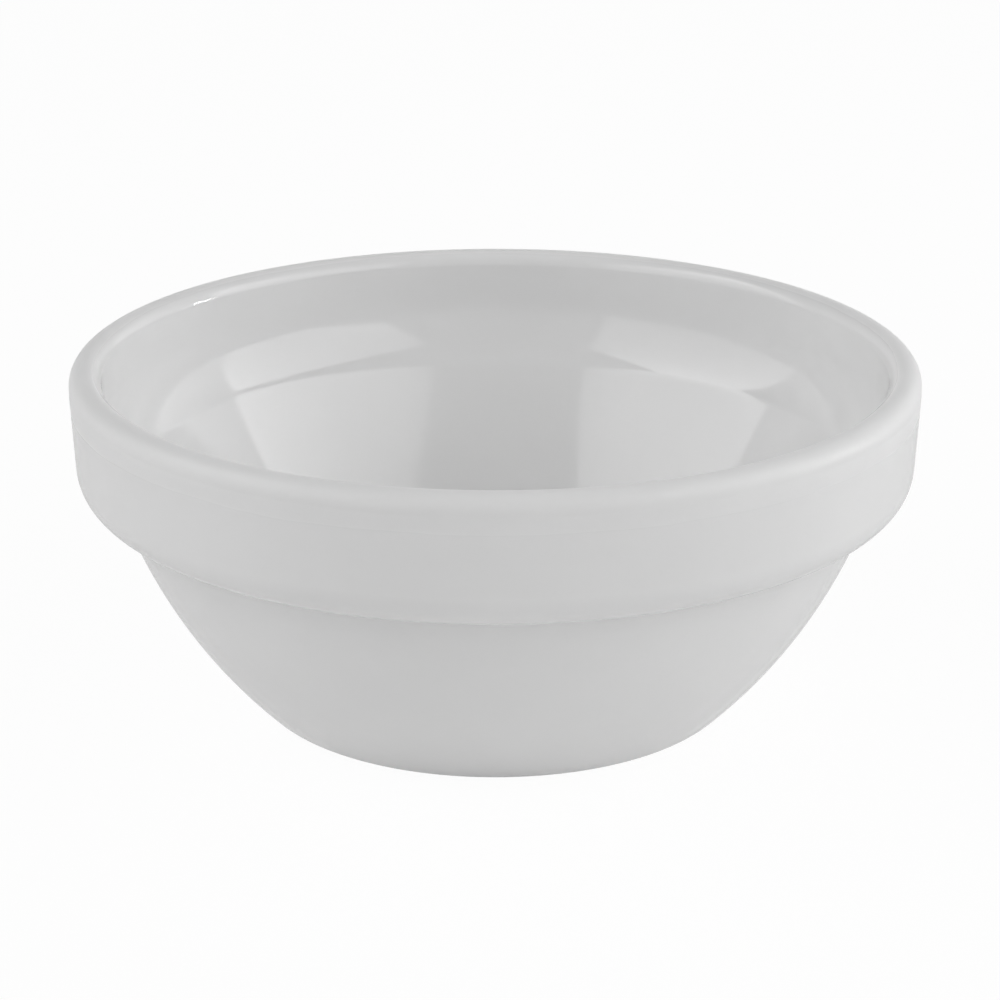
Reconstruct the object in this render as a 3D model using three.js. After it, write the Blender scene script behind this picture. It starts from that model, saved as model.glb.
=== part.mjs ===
// Stacking dip cup: one moulded piece of white plastic, a round bowl with a tall stacking collar.
// Millimetres, +Z up. The origin is where the cup's axis meets the table that it stands on.
//
// The cup is one closed section turned about its axis. The section is a chain of arcs and straight
// sides, each tangent to the next: foot edge, bowl side, neck, shoulder and collar on the way up,
// the lip, then collar, sweep, bend and bowl on the way down inside, and the floor.
import * as THREE from "three";

// Driving dimensions
const RIM_DIAMETER = 80; // widest point of the lip
const HEIGHT = 33.4; // table to the top of the lip
const WALL = 3; // lip and collar
const COLLAR_HEIGHT = 12.65; // top of the lip to the underside of the collar
const COLLAR_STEP = 3.68; // how far the collar stands out beyond the bowl, at its underside
const COLLAR_DRAFT = THREE.MathUtils.degToRad(3); // the collar narrows towards its underside
const COLLAR_SWEEP = 10; // hollow inside the collar, that leads down to the bend
const PARTING_LAND = 0.8; // upright band at the widest point, where the two mould halves meet
const NECK_RADIUS = 0.4; // hollow corner between the bowl side and the collar
const NECK_WALL = 2.1; // wall between the neck and the bend inside, measured level
const BEND_RADIUS = 3.3; // soft bend on the inside, behind the neck
const BODY_RADIUS = 50.8; // curve of the bowl side, seen in section
const BOWL_LEAN = THREE.MathUtils.degToRad(30); // inside of the bowl, where it leaves the bend
const BOWL_RADIUS = 155; // curve of the inside of the bowl, seen in section
const FOOT_DIAMETER = 45.2; // where the bowl side, drawn on, would reach the table
const FOOT_EDGE_RADIUS = 2; // rounding from the bowl side to the foot ring
const FOOT_RING_WIDTH = 3.2; // flat ring that the cup stands on
const BASE_RECESS = 0.9; // hollow inside the foot ring
const BASE_THICKNESS = 3; // floor of the cup, over the recess
const FLOOR_SWEEP = 10; // hollow from the inside of the bowl to the floor
const CHORD_TOLERANCE = 0.03; // how far a facet may leave a true arc of the section
const TURN_FACETS = 80; // facets round the axis

// Directions in the section, where the axis is to the left
const outwards = 0;
const upwards = Math.PI / 2;
const inwards = Math.PI;
const downwards = -Math.PI / 2;

const point = (r, z) => new THREE.Vector2(r, z);
const bearing = (from, to) => Math.atan2(to.y - from.y, to.x - from.x);
const heading = (angle) => point(Math.cos(angle), Math.sin(angle));

// Points along an arc of the section, close enough together to keep the chord tolerance.
function arc(centre, radius, from, to) {
  const widestStep = 2 * Math.acos(1 - CHORD_TOLERANCE / Math.max(radius, 2 * CHORD_TOLERANCE));
  const steps = Math.max(2, Math.ceil(Math.abs(to - from) / widestStep));
  return Array.from({ length: steps + 1 }, (_, i) => {
    const angle = from + ((to - from) * i) / steps;
    return heading(angle).multiplyScalar(radius).add(centre);
  });
}

// Centre of the arc that bulges outwards and downwards between two points.
function bulgeCentre(low, high, radius) {
  const chord = high.clone().sub(low);
  const reach = Math.sqrt(radius ** 2 - chord.lengthSq() / 4);
  const towardsAxis = point(-chord.y, chord.x).normalize();
  return low.clone().add(high).multiplyScalar(0.5).addScaledVector(towardsAxis, reach);
}

// Point at a given height and at a given distance from a centre, on its outward side.
function beside(centre, z, distance) {
  return point(centre.x + Math.sqrt(distance ** 2 - (z - centre.y) ** 2), z);
}

// Lip: a full round as thick as the wall
const lipRadius = WALL / 2;
const lip = point(RIM_DIAMETER / 2 - lipRadius, HEIGHT - lipRadius);

// Collar: an upright land below the lip, then a side that leans in towards the underside
const landBottom = lip.y - PARTING_LAND;
const collarBottom = HEIGHT - COLLAR_HEIGHT;
const collarFoot = RIM_DIAMETER / 2 - (landBottom - collarBottom) * Math.tan(COLLAR_DRAFT);

// Bowl side: one arc from the foot to the underside of the collar
const bodyTop = point(collarFoot - COLLAR_STEP, collarBottom);
const body = bulgeCentre(point(FOOT_DIAMETER / 2, 0), bodyTop, BODY_RADIUS);

// Neck: a tight hollow on the outside, and a soft bend at the same height inside
const neck = beside(body, collarBottom - NECK_RADIUS, BODY_RADIUS + NECK_RADIUS);
const neckToBody = inwards + bearing(body, neck);
const bend = point(neck.x - NECK_RADIUS - NECK_WALL + BEND_RADIUS, neck.y);

// Shoulder: the collar's underside is one round, from its leaning side to the neck
const shoulderRadius = ((collarFoot - neck.x) * Math.cos(COLLAR_DRAFT)) / (1 - Math.sin(COLLAR_DRAFT));
const shoulder = point(neck.x, collarBottom + shoulderRadius);

// Sweep: touches the inside of the collar, a wall from the lip's outside, and the bend
const collarInwards = heading(inwards - COLLAR_DRAFT);
const collarUpwards = heading(upwards - COLLAR_DRAFT);
const sweepIn = lipRadius + COLLAR_SWEEP - bend.clone().sub(lip).dot(collarInwards);
const sweepUp = Math.sqrt((COLLAR_SWEEP + BEND_RADIUS) ** 2 - sweepIn ** 2);
const sweep = bend.clone().addScaledVector(collarInwards, sweepIn).addScaledVector(collarUpwards, sweepUp);

// Foot: a rounded edge, a flat ring, and a recess whose step is two quarter rounds
const footEdge = beside(body, FOOT_EDGE_RADIUS, BODY_RADIUS - FOOT_EDGE_RADIUS);
const ringInside = footEdge.x - FOOT_RING_WIDTH;
const recessRadius = BASE_RECESS / 2;

// Inside of the bowl: nearly a cone, that leaves the bend at its lean and gets flatter on the way down
const bowl = heading(inwards - BOWL_LEAN).multiplyScalar(BEND_RADIUS + BOWL_RADIUS).add(bend);

// Floor: a wide hollow that ends level
const floor = BASE_RECESS + BASE_THICKNESS;
const floorSweep = beside(bowl, floor + FLOOR_SWEEP, BOWL_RADIUS - FLOOR_SWEEP);

// The section, from the axis under the base, round the outside, and back to the axis on the floor.
function section() {
  return [
    point(0, BASE_RECESS),
    ...arc(point(ringInside - BASE_RECESS, recessRadius), recessRadius, upwards, outwards),
    ...arc(point(ringInside, recessRadius), recessRadius, -inwards, downwards),
    ...arc(footEdge, FOOT_EDGE_RADIUS, downwards, bearing(body, footEdge)),
    ...arc(body, BODY_RADIUS, bearing(body, footEdge), bearing(body, neck)),
    ...arc(neck, NECK_RADIUS, neckToBody, upwards),
    ...arc(shoulder, shoulderRadius, downwards, -COLLAR_DRAFT),
    point(RIM_DIAMETER / 2, landBottom),
    ...arc(lip, lipRadius, outwards, inwards - COLLAR_DRAFT),
    ...arc(sweep, COLLAR_SWEEP, -COLLAR_DRAFT, bearing(sweep, bend)),
    ...arc(bend, BEND_RADIUS, bearing(bend, sweep), inwards - BOWL_LEAN),
    ...arc(bowl, BOWL_RADIUS, -BOWL_LEAN, bearing(bowl, floorSweep)),
    ...arc(floorSweep, FLOOR_SWEEP, bearing(bowl, floorSweep), downwards),
    point(0, floor),
  ];
}

// One turn of the section, stood upright. A point that two neighbouring arcs share is kept once.
function turned(points) {
  const apart = points.filter((p, i) => i === 0 || p.distanceTo(points[i - 1]) > CHORD_TOLERANCE / 10);
  return new THREE.LatheGeometry(apart, TURN_FACETS).rotateX(Math.PI / 2);
}

const plastic = new THREE.MeshStandardMaterial({
  name: "white_melamine",
  color: 0xcfcfce,
  roughness: 0.25,
  metalness: 0,
});

const cup = new THREE.Mesh(turned(section()), plastic);
cup.name = "cup";

const dipCup = new THREE.Group();
dipCup.name = "dip_cup";
dipCup.add(cup);

export default dipCup;
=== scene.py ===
"""White plastic dip cup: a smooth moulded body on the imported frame, soft light and the photo's camera."""

import math

import bpy
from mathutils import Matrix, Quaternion, Vector


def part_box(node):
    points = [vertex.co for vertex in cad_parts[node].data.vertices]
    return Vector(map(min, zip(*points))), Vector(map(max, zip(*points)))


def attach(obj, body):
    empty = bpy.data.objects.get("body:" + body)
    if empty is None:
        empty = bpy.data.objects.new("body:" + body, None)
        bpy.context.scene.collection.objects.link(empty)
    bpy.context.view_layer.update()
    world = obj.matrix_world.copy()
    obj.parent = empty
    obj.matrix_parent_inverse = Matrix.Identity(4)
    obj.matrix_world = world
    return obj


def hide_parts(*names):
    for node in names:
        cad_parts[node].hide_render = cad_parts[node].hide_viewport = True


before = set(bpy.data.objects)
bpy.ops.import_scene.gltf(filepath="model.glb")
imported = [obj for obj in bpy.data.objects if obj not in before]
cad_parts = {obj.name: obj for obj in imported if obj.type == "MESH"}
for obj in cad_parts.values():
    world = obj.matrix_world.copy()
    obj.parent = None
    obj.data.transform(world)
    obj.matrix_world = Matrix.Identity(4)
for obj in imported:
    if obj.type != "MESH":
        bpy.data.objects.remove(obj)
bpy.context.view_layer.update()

# Sizes of the cup, in metres. The rim and the height are the frame's own.
MM = 0.001
cup_low, cup_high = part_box("cup")
RIM_RADIUS = (cup_high.x - cup_low.x) / 2
HEIGHT = cup_high.z - cup_low.z
WALL = 3 * MM
COLLAR_HEIGHT = 12.65 * MM
COLLAR_STEP = 3.68 * MM
COLLAR_DRAFT = math.radians(3)
COLLAR_SWEEP = 10 * MM
PARTING_LAND = 0.8 * MM
PARTING_GROOVE = 0.02 * MM
NECK_RADIUS = 0.4 * MM
NECK_WALL = 2.1 * MM
BEND_RADIUS = 3.3 * MM
BODY_RADIUS = 50.8 * MM
BOWL_LEAN = math.radians(30)
BOWL_RADIUS = 155 * MM
FOOT_RADIUS = 22.6 * MM
FOOT_EDGE_RADIUS = 2 * MM
FOOT_RING_WIDTH = 3.2 * MM
BASE_RECESS = 0.9 * MM
BASE_THICKNESS = 3 * MM
FLOOR_SWEEP = 10 * MM

# How fine the surface is
TURN_STEPS = 320
ARC_STEP = math.radians(4)
LONGEST_STEP = 1.5 * MM
GROOVE_STEPS = 12

# Finish of the plastic. Colours are linear greys, and wear adds to the roughness of the polish.
CLOUD_GREYS = (0.855, 0.885)
RUBBED_COLOUR = (0.6, 0.6, 0.59, 1)
POLISH = (0.06, 0.1)
RIM_WEAR = 0.4
FOOT_WEAR = 0.3
MARK_WEAR = 0.15
PLASTIC_IOR = 1.5
WAVE_DEPTH = 0.03 * MM
GRAIN_DEPTH = 0.001 * MM
MARK_DEPTH = 0.002 * MM

# Where the plastic is worn, each from its clean edge to its most worn edge
RIM_RADII = (37.1 * MM, 38.4 * MM)
RIM_HEIGHTS = (29 * MM, 31 * MM)
FOOT_HEIGHTS = (0.5 * MM, 0.05 * MM)
FLOOR_HEIGHTS = (14 * MM, 5 * MM)
FLOOR_SLOPES = (0.3, 0.9)

# Sizes of the noises, in turns per metre
CLOUD_SCALE = 55
POLISH_SCALE = 140
RUB_SCALE = 900
WAVE_SCALE = 75
GRAIN_SCALE = 1300

# The photo's camera
CAMERA_ELEVATION = math.radians(19.52)
CAMERA_DISTANCE = 310 * MM
CAMERA_AIM = 18.98 * MM
LENS = 116.5
SENSOR = 36
SIDE_SHIFT = 0.0047

# Directions in the section, where the axis is to the left
OUTWARDS = 0.0
UPWARDS = math.pi / 2
INWARDS = math.pi
DOWNWARDS = -math.pi / 2


# Section of the cup


def heading(angle):
    return Vector((math.cos(angle), math.sin(angle)))


def bearing(start, end):
    return math.atan2(end.y - start.y, end.x - start.x)


def beside(centre, z, distance):
    """The point at a height and at a distance from a centre, on its outward side."""
    return Vector((centre.x + math.sqrt(distance**2 - (z - centre.y) ** 2), z))


def arc(centre, radius, start, end, hollow=False):
    """Points along an arc of the section, each with the surface's normal there."""
    by_angle = abs(end - start) / ARC_STEP
    by_length = abs(end - start) * radius / LONGEST_STEP
    steps = max(3, math.ceil(max(by_angle, by_length)))
    side = -1 if hollow else 1
    headings = [heading(start + (end - start) * i / steps) for i in range(steps + 1)]
    return [(centre + radius * h, side * h) for h in headings]


def level(radius, z, up, steps=8):
    """Points of a flat disc between the axis and a radius, with its normal up or down."""
    normal = Vector((0, 1 if up else -1))
    return [(Vector((radius * i / steps, z)), normal) for i in range(steps)]


def groove(radius, low, high, depth):
    """The faint line where the two mould halves met: a shallow wave in an upright band."""
    points = []
    for i in range(GROOVE_STEPS + 1):
        turn = 2 * math.pi * i / GROOVE_STEPS
        dip = depth * (1 - math.cos(turn)) / 2
        slope = depth * math.pi / (high - low) * math.sin(turn)
        at = Vector((radius - dip, low + (high - low) * i / GROOVE_STEPS))
        points.append((at, Vector((1, slope)).normalized()))
    return points


def section():
    """The section, from the axis under the base, round the outside, and back to the axis on the floor."""
    lip_radius = WALL / 2
    lip = Vector((RIM_RADIUS - lip_radius, HEIGHT - lip_radius))
    land_bottom = lip.y - PARTING_LAND
    collar_bottom = HEIGHT - COLLAR_HEIGHT
    collar_foot = RIM_RADIUS - (land_bottom - collar_bottom) * math.tan(COLLAR_DRAFT)

    # Bowl side: one arc from the foot to the underside of the collar
    low = Vector((FOOT_RADIUS, 0))
    high = Vector((collar_foot - COLLAR_STEP, collar_bottom))
    chord = high - low
    reach = math.sqrt(BODY_RADIUS**2 - chord.length_squared / 4)
    body = (low + high) / 2 + Vector((-chord.y, chord.x)).normalized() * reach

    # Neck and shoulder: where the bowl side turns out into the collar
    neck = beside(body, collar_bottom - NECK_RADIUS, BODY_RADIUS + NECK_RADIUS)
    neck_to_body = INWARDS + bearing(body, neck)
    spare = collar_foot - neck.x
    shoulder_radius = spare * math.cos(COLLAR_DRAFT) / (1 - math.sin(COLLAR_DRAFT))
    shoulder = Vector((neck.x, collar_bottom + shoulder_radius))

    # Inside: a sweep from the collar down to a soft bend behind the neck, and the bowl below it
    bend = Vector((neck.x - NECK_RADIUS - NECK_WALL + BEND_RADIUS, neck.y))
    collar_inwards = heading(INWARDS - COLLAR_DRAFT)
    collar_upwards = heading(UPWARDS - COLLAR_DRAFT)
    sweep_in = lip_radius + COLLAR_SWEEP - (bend - lip).dot(collar_inwards)
    sweep_up = math.sqrt((COLLAR_SWEEP + BEND_RADIUS) ** 2 - sweep_in**2)
    sweep = bend + collar_inwards * sweep_in + collar_upwards * sweep_up
    bowl = bend + heading(INWARDS - BOWL_LEAN) * (BEND_RADIUS + BOWL_RADIUS)

    # Foot and floor
    foot_edge = beside(body, FOOT_EDGE_RADIUS, BODY_RADIUS - FOOT_EDGE_RADIUS)
    ring_inside = foot_edge.x - FOOT_RING_WIDTH
    step = BASE_RECESS / 2
    floor = BASE_RECESS + BASE_THICKNESS
    floor_sweep = beside(bowl, floor + FLOOR_SWEEP, BOWL_RADIUS - FLOOR_SWEEP)

    return [
        *level(ring_inside - BASE_RECESS, BASE_RECESS, up=False),
        *arc(Vector((ring_inside - BASE_RECESS, step)), step, UPWARDS, OUTWARDS, hollow=True),
        *arc(Vector((ring_inside, step)), step, -INWARDS, DOWNWARDS),
        *arc(foot_edge, FOOT_EDGE_RADIUS, DOWNWARDS, bearing(body, foot_edge)),
        *arc(body, BODY_RADIUS, bearing(body, foot_edge), bearing(body, neck)),
        *arc(neck, NECK_RADIUS, neck_to_body, UPWARDS, hollow=True),
        *arc(shoulder, shoulder_radius, DOWNWARDS, -COLLAR_DRAFT),
        *groove(RIM_RADIUS, land_bottom, lip.y, PARTING_GROOVE),
        *arc(lip, lip_radius, OUTWARDS, INWARDS - COLLAR_DRAFT),
        *arc(sweep, COLLAR_SWEEP, -COLLAR_DRAFT, bearing(sweep, bend), hollow=True),
        *arc(bend, BEND_RADIUS, bearing(bend, sweep), INWARDS - BOWL_LEAN),
        *arc(bowl, BOWL_RADIUS, -BOWL_LEAN, bearing(bowl, floor_sweep), hollow=True),
        *arc(floor_sweep, FLOOR_SWEEP, bearing(bowl, floor_sweep), DOWNWARDS, hollow=True),
        *reversed(level(floor_sweep.x, floor, up=True)),
    ]


# Body of the cup


def one_of_each(points, tolerance=1e-7):
    """The section's points without the doubles where one arc ends on the next."""
    kept = [points[0]]
    for point, normal in points[1:]:
        if (point - kept[-1][0]).length > tolerance:
            kept.append((point, normal))
    return kept


def turn(name, points):
    """A smooth piece from one turn of a section that starts and ends on the axis."""
    verts, normals, rings = [], [], []
    for point, normal in points:
        count = TURN_STEPS if point.x > 0 else 1
        rings.append(range(len(verts), len(verts) + count))
        for i in range(count):
            around = heading(2 * math.pi * i / TURN_STEPS)
            verts.append((point.x * around.x, point.x * around.y, point.y))
            normals.append((normal.x * around.x, normal.x * around.y, normal.y))
    faces = []
    for first, second in zip(rings, rings[1:]):
        for i in range(TURN_STEPS):
            j = (i + 1) % TURN_STEPS
            pairs = [(first, i), (first, j), (second, j), (second, i)]
            corners = [ring[k % len(ring)] for ring, k in pairs]
            faces.append(list(dict.fromkeys(corners)))
    mesh = bpy.data.meshes.new(name)
    mesh.from_pydata(verts, [], faces)
    mesh.validate()
    mesh.shade_smooth()
    mesh.normals_split_custom_set_from_vertices(normals)
    return place(name, mesh)


def place(name, data):
    placed = bpy.data.objects.new(name, data)
    bpy.context.scene.collection.objects.link(placed)
    return placed


# Materials


def add_node(tree, kind, values=(), **settings):
    """A node with its settings and its inputs' values. A value that is another node's output is linked."""
    node = tree.nodes.new(kind)
    for name, value in settings.items():
        setattr(node, name, value)
    for name, value in dict(values).items():
        if isinstance(value, bpy.types.NodeSocket):
            tree.links.new(value, node.inputs[name])
        else:
            node.inputs[name].default_value = value
    return node


def new_material(name):
    material = bpy.data.materials.new(name)
    material.use_nodes = True
    return material, material.node_tree, material.node_tree.nodes["Principled BSDF"]


def fade(tree, source, start, end, low=0.0, high=1.0):
    """A value that goes from low to high as the source goes from start to end."""
    values = {"Value": source, "From Min": start, "From Max": end, "To Min": low, "To Max": high}
    return add_node(tree, "ShaderNodeMapRange", values).outputs["Result"]


def maths(tree, operation, first, second):
    return add_node(tree, "ShaderNodeMath", {0: first, 1: second}, operation=operation).outputs[0]


def noise(tree, where, scale, detail=2.0):
    values = {"Vector": where, "Scale": scale, "Detail": detail}
    return add_node(tree, "ShaderNodeTexNoise", values).outputs["Fac"]


def scratches(tree, where, turned, fine=2600.0, long=90.0):
    """Thin straight marks in one direction: a noise drawn out to lines, of which only the crests are kept."""
    values = {"Vector": where, "Rotation": (0, 0, math.radians(turned)), "Scale": (fine, long, long)}
    stretched = add_node(tree, "ShaderNodeMapping", values).outputs["Vector"]
    return fade(tree, noise(tree, stretched, 1.0, 1.0), 0.68, 0.76)


def make_plastic():
    """White melamine: glossy, faintly clouded and wavy from the mould, with the first traces of use."""
    material, tree, shader = new_material("melamine")
    where = add_node(tree, "ShaderNodeTexCoord").outputs["Object"]
    height = add_node(tree, "ShaderNodeSeparateXYZ", {"Vector": where}).outputs["Z"]
    normal = add_node(tree, "ShaderNodeNewGeometry").outputs["Normal"]
    facing_up = add_node(tree, "ShaderNodeSeparateXYZ", {"Vector": normal}).outputs["Z"]

    # Where it is worn: the rim, the ring it stands on, and the floor that spoons reach
    level_part = add_node(tree, "ShaderNodeVectorMath", {0: where, 1: (1, 1, 0)}, operation="MULTIPLY")
    radius = add_node(tree, "ShaderNodeVectorMath", {0: level_part.outputs["Vector"]}, operation="LENGTH")
    out_on_lip = fade(tree, radius.outputs["Value"], *RIM_RADII)
    on_rim = maths(tree, "MULTIPLY", out_on_lip, fade(tree, height, *RIM_HEIGHTS))
    on_foot = fade(tree, height, *FOOT_HEIGHTS)
    low_down = fade(tree, height, *FLOOR_HEIGHTS)
    on_floor = maths(tree, "MULTIPLY", low_down, fade(tree, facing_up, *FLOOR_SLOPES))
    marks = maths(tree, "MAXIMUM", scratches(tree, where, 25), scratches(tree, where, -50))
    spoon_marks = maths(tree, "MULTIPLY", marks, on_floor)

    # Colour: a slow clouding, a little darker where the foot has rubbed
    clouds = add_node(tree, "ShaderNodeValToRGB", {"Fac": noise(tree, where, CLOUD_SCALE, 4)})
    for stop, position, grey in zip(clouds.color_ramp.elements, (0.3, 0.7), CLOUD_GREYS):
        stop.position = position
        stop.color = (grey, grey, grey, 1)
    rubbed = maths(tree, "MULTIPLY", on_foot, noise(tree, where, RUB_SCALE, 3))
    factor, first, second, mixed = 0, 6, 7, 2
    colours = {factor: rubbed, first: clouds.outputs["Color"], second: RUBBED_COLOUR}
    colour = add_node(tree, "ShaderNodeMix", colours, data_type="RGBA")
    tree.links.new(colour.outputs[mixed], shader.inputs["Base Color"])

    # Gloss: high and a little uneven, duller on the rim, under the foot and in the marks
    polish = fade(tree, noise(tree, where, POLISH_SCALE, 4), 0.3, 0.7, *POLISH)
    handled = maths(tree, "ADD", polish, fade(tree, on_rim, 0, 1, 0, RIM_WEAR))
    dulled = maths(tree, "ADD", handled, fade(tree, on_foot, 0, 1, 0, FOOT_WEAR))
    roughness = maths(tree, "ADD", dulled, fade(tree, spoon_marks, 0, 1, 0, MARK_WEAR))
    tree.links.new(roughness, shader.inputs["Roughness"])
    shader.inputs["IOR"].default_value = PLASTIC_IOR

    # Surface: slow waves, a fine grain, and the marks
    waves = {"Height": noise(tree, where, WAVE_SCALE, 1), "Distance": WAVE_DEPTH, "Strength": 1.0}
    waved = add_node(tree, "ShaderNodeBump", waves).outputs["Normal"]
    pits = noise(tree, where, GRAIN_SCALE, 2)
    grain = {"Height": pits, "Distance": GRAIN_DEPTH, "Strength": 1.0, "Normal": waved}
    grained = add_node(tree, "ShaderNodeBump", grain).outputs["Normal"]
    scored = {"Height": spoon_marks, "Distance": MARK_DEPTH, "Strength": 1.0, "Normal": grained}
    scored_node = add_node(tree, "ShaderNodeBump", scored, invert=True)
    tree.links.new(scored_node.outputs["Normal"], shader.inputs["Normal"])
    return material


# Stage


def seen_rays(tree):
    """Two values that are 1 for what the camera sees, one for straight rays and one for reflections."""
    path = add_node(tree, "ShaderNodeLightPath")
    mirrored = maths(tree, "MAXIMUM", path.outputs["Is Glossy Ray"], path.outputs["Is Transmission Ray"])
    return path.outputs["Is Camera Ray"], mirrored


def make_floor(half, whiteness, in_reflections, glow):
    """A white table that glows faintly. The camera sees it nearly white, and it keeps the cup's shadow."""
    mesh = bpy.data.meshes.new("floor")
    corners = [(-half, -half, 0), (half, -half, 0), (half, half, 0), (-half, half, 0)]
    mesh.from_pydata(corners, [], [(0, 1, 2, 3)])
    floor = place("floor", mesh)
    material, tree, shader = new_material("white_table")
    shader.inputs["Base Color"].default_value = (0.95, 0.95, 0.95, 1)
    shader.inputs["Roughness"].default_value = 1.0
    shader.inputs["Specular IOR Level"].default_value = 0.0
    by_camera, mirrored = seen_rays(tree)
    bright = fade(tree, by_camera, 0, 1, in_reflections, 1.0)
    white = add_node(tree, "ShaderNodeEmission", {"Color": (1, 1, 1, 1), "Strength": bright})
    seen = maths(tree, "MAXIMUM", by_camera, mirrored)
    mix = add_node(tree, "ShaderNodeMixShader", {0: fade(tree, seen, 0, 1, glow, whiteness)})
    tree.links.new(shader.outputs["BSDF"], mix.inputs[1])
    tree.links.new(white.outputs["Emission"], mix.inputs[2])
    tree.links.new(mix.outputs["Shader"], tree.nodes["Material Output"].inputs["Surface"])
    mesh.materials.append(material)


def make_world(ambient, near, far):
    """A white backdrop for the camera, and a dim surround.

    In reflections, its near and far side have levels of their own, each a pair: low down and high up.
    """
    world = bpy.data.worlds.new("studio")
    world.use_nodes = True
    tree = world.node_tree
    direction = add_node(tree, "ShaderNodeTexCoord").outputs["Generated"]
    _, depth, height = add_node(tree, "ShaderNodeSeparateXYZ", {"Vector": direction}).outputs
    low_down = fade(tree, depth, -0.3, 0.3, near[0], far[0])
    high_up = fade(tree, depth, -0.3, 0.3, near[1], far[1])
    by_camera, mirrored = seen_rays(tree)
    backdrop = maths(tree, "MAXIMUM", fade(tree, height, 0.3, 0.7, low_down, high_up), by_camera)
    white = add_node(tree, "ShaderNodeBackground", {"Color": (1, 1, 1, 1), "Strength": backdrop})
    dim = tree.nodes["Background"]
    dim.inputs["Color"].default_value = (1, 1, 1, 1)
    dim.inputs["Strength"].default_value = ambient
    mix = add_node(tree, "ShaderNodeMixShader", {0: maths(tree, "MAXIMUM", by_camera, mirrored)})
    tree.links.new(dim.outputs["Background"], mix.inputs[1])
    tree.links.new(white.outputs["Background"], mix.inputs[2])
    tree.links.new(mix.outputs["Shader"], tree.nodes["World Output"].inputs["Surface"])
    bpy.context.scene.world = world


def make_softbox(name, centre, back, size, low, high, roll=0):
    """A lit panel, with the azimuth and elevation of its back, and its levels on its low and high edge.

    Azimuth 0 is the camera's side, and it grows to the right. Each edge has a level at its two ends.
    """
    data = bpy.data.lights.new(name, "AREA")
    data.shape = "RECTANGLE"
    data.size, data.size_y = size
    data.energy = math.pi * data.size * data.size_y
    data.use_nodes = True
    tree = data.node_tree
    on_panel = add_node(tree, "ShaderNodeNewGeometry").outputs["Parametric"]
    across, up, _ = add_node(tree, "ShaderNodeSeparateXYZ", {"Vector": on_panel}).outputs
    low_edge = fade(tree, across, 0, 1, *low)
    high_edge = fade(tree, across, 0, 1, *high)
    tree.links.new(fade(tree, up, 0, 1, low_edge, high_edge), tree.nodes["Emission"].inputs["Strength"])
    lamp = place(name, data)
    azimuth, elevation = (math.radians(angle) for angle in back)
    level_out = Vector((math.sin(azimuth), -math.cos(azimuth), 0)) * math.cos(elevation)
    outward = level_out + Vector((0, 0, math.sin(elevation)))
    rolled = Quaternion((0, 0, 1), math.radians(roll))
    lamp.location = centre
    lamp.rotation_euler = (outward.to_track_quat("Z", "Y") @ rolled).to_euler()
    lamp.visible_camera = False
    return lamp


def make_camera():
    data = bpy.data.cameras.new("camera")
    data.lens = LENS
    data.sensor_width = SENSOR
    data.shift_x = SIDE_SHIFT
    camera = place("camera", data)
    back = Vector((0, -math.cos(CAMERA_ELEVATION), math.sin(CAMERA_ELEVATION)))
    camera.location = Vector((0, 0, CAMERA_AIM)) + back * CAMERA_DISTANCE
    camera.rotation_euler = (-back).to_track_quat("-Z", "Y").to_euler()
    bpy.context.scene.camera = camera


cup = turn("cup_body", one_of_each(section()))
cup.data.materials.append(make_plastic())
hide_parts("cup")
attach(cup, "root")

make_floor(half=3.0, whiteness=0.96, in_reflections=0.67, glow=0.025)
make_world(ambient=0.155, near=(0.7, 0.25), far=(1.0, 0.38))
make_softbox(
    "softbox_left",
    centre=(-0.67, -0.32, 0.52),
    back=(-83, 0),
    size=(1.1, 1.02),
    low=(0.0, 0.87),
    high=(4.75, 1.2),
)
make_softbox(
    "softbox_right",
    centre=(0.631, -0.38, 0.396),
    back=(86.5, 35.3),
    size=(1.01, 0.65),
    low=(2.2, 1.05),
    high=(0.8, 3.22),
    roll=-19.9,
)
make_softbox(
    "panel_right",
    centre=(0.572, 0.378, 0.508),
    back=(137.5, -23.9),
    size=(0.62, 1.04),
    low=(0.61, 0.61),
    high=(0.61, 0.61),
    roll=-4.4,
)

# A small lamp that shows in reflections only, as a dash on the inner edge of the lip
highlight = make_softbox(
    "highlight",
    centre=(0.957, 0.16, 0.13),
    back=(99.5, 0),
    size=(0.14, 0.06),
    low=(40, 40),
    high=(40, 40),
)
highlight.visible_diffuse = False

make_camera()
bpy.context.scene.view_settings.view_transform = "Standard"
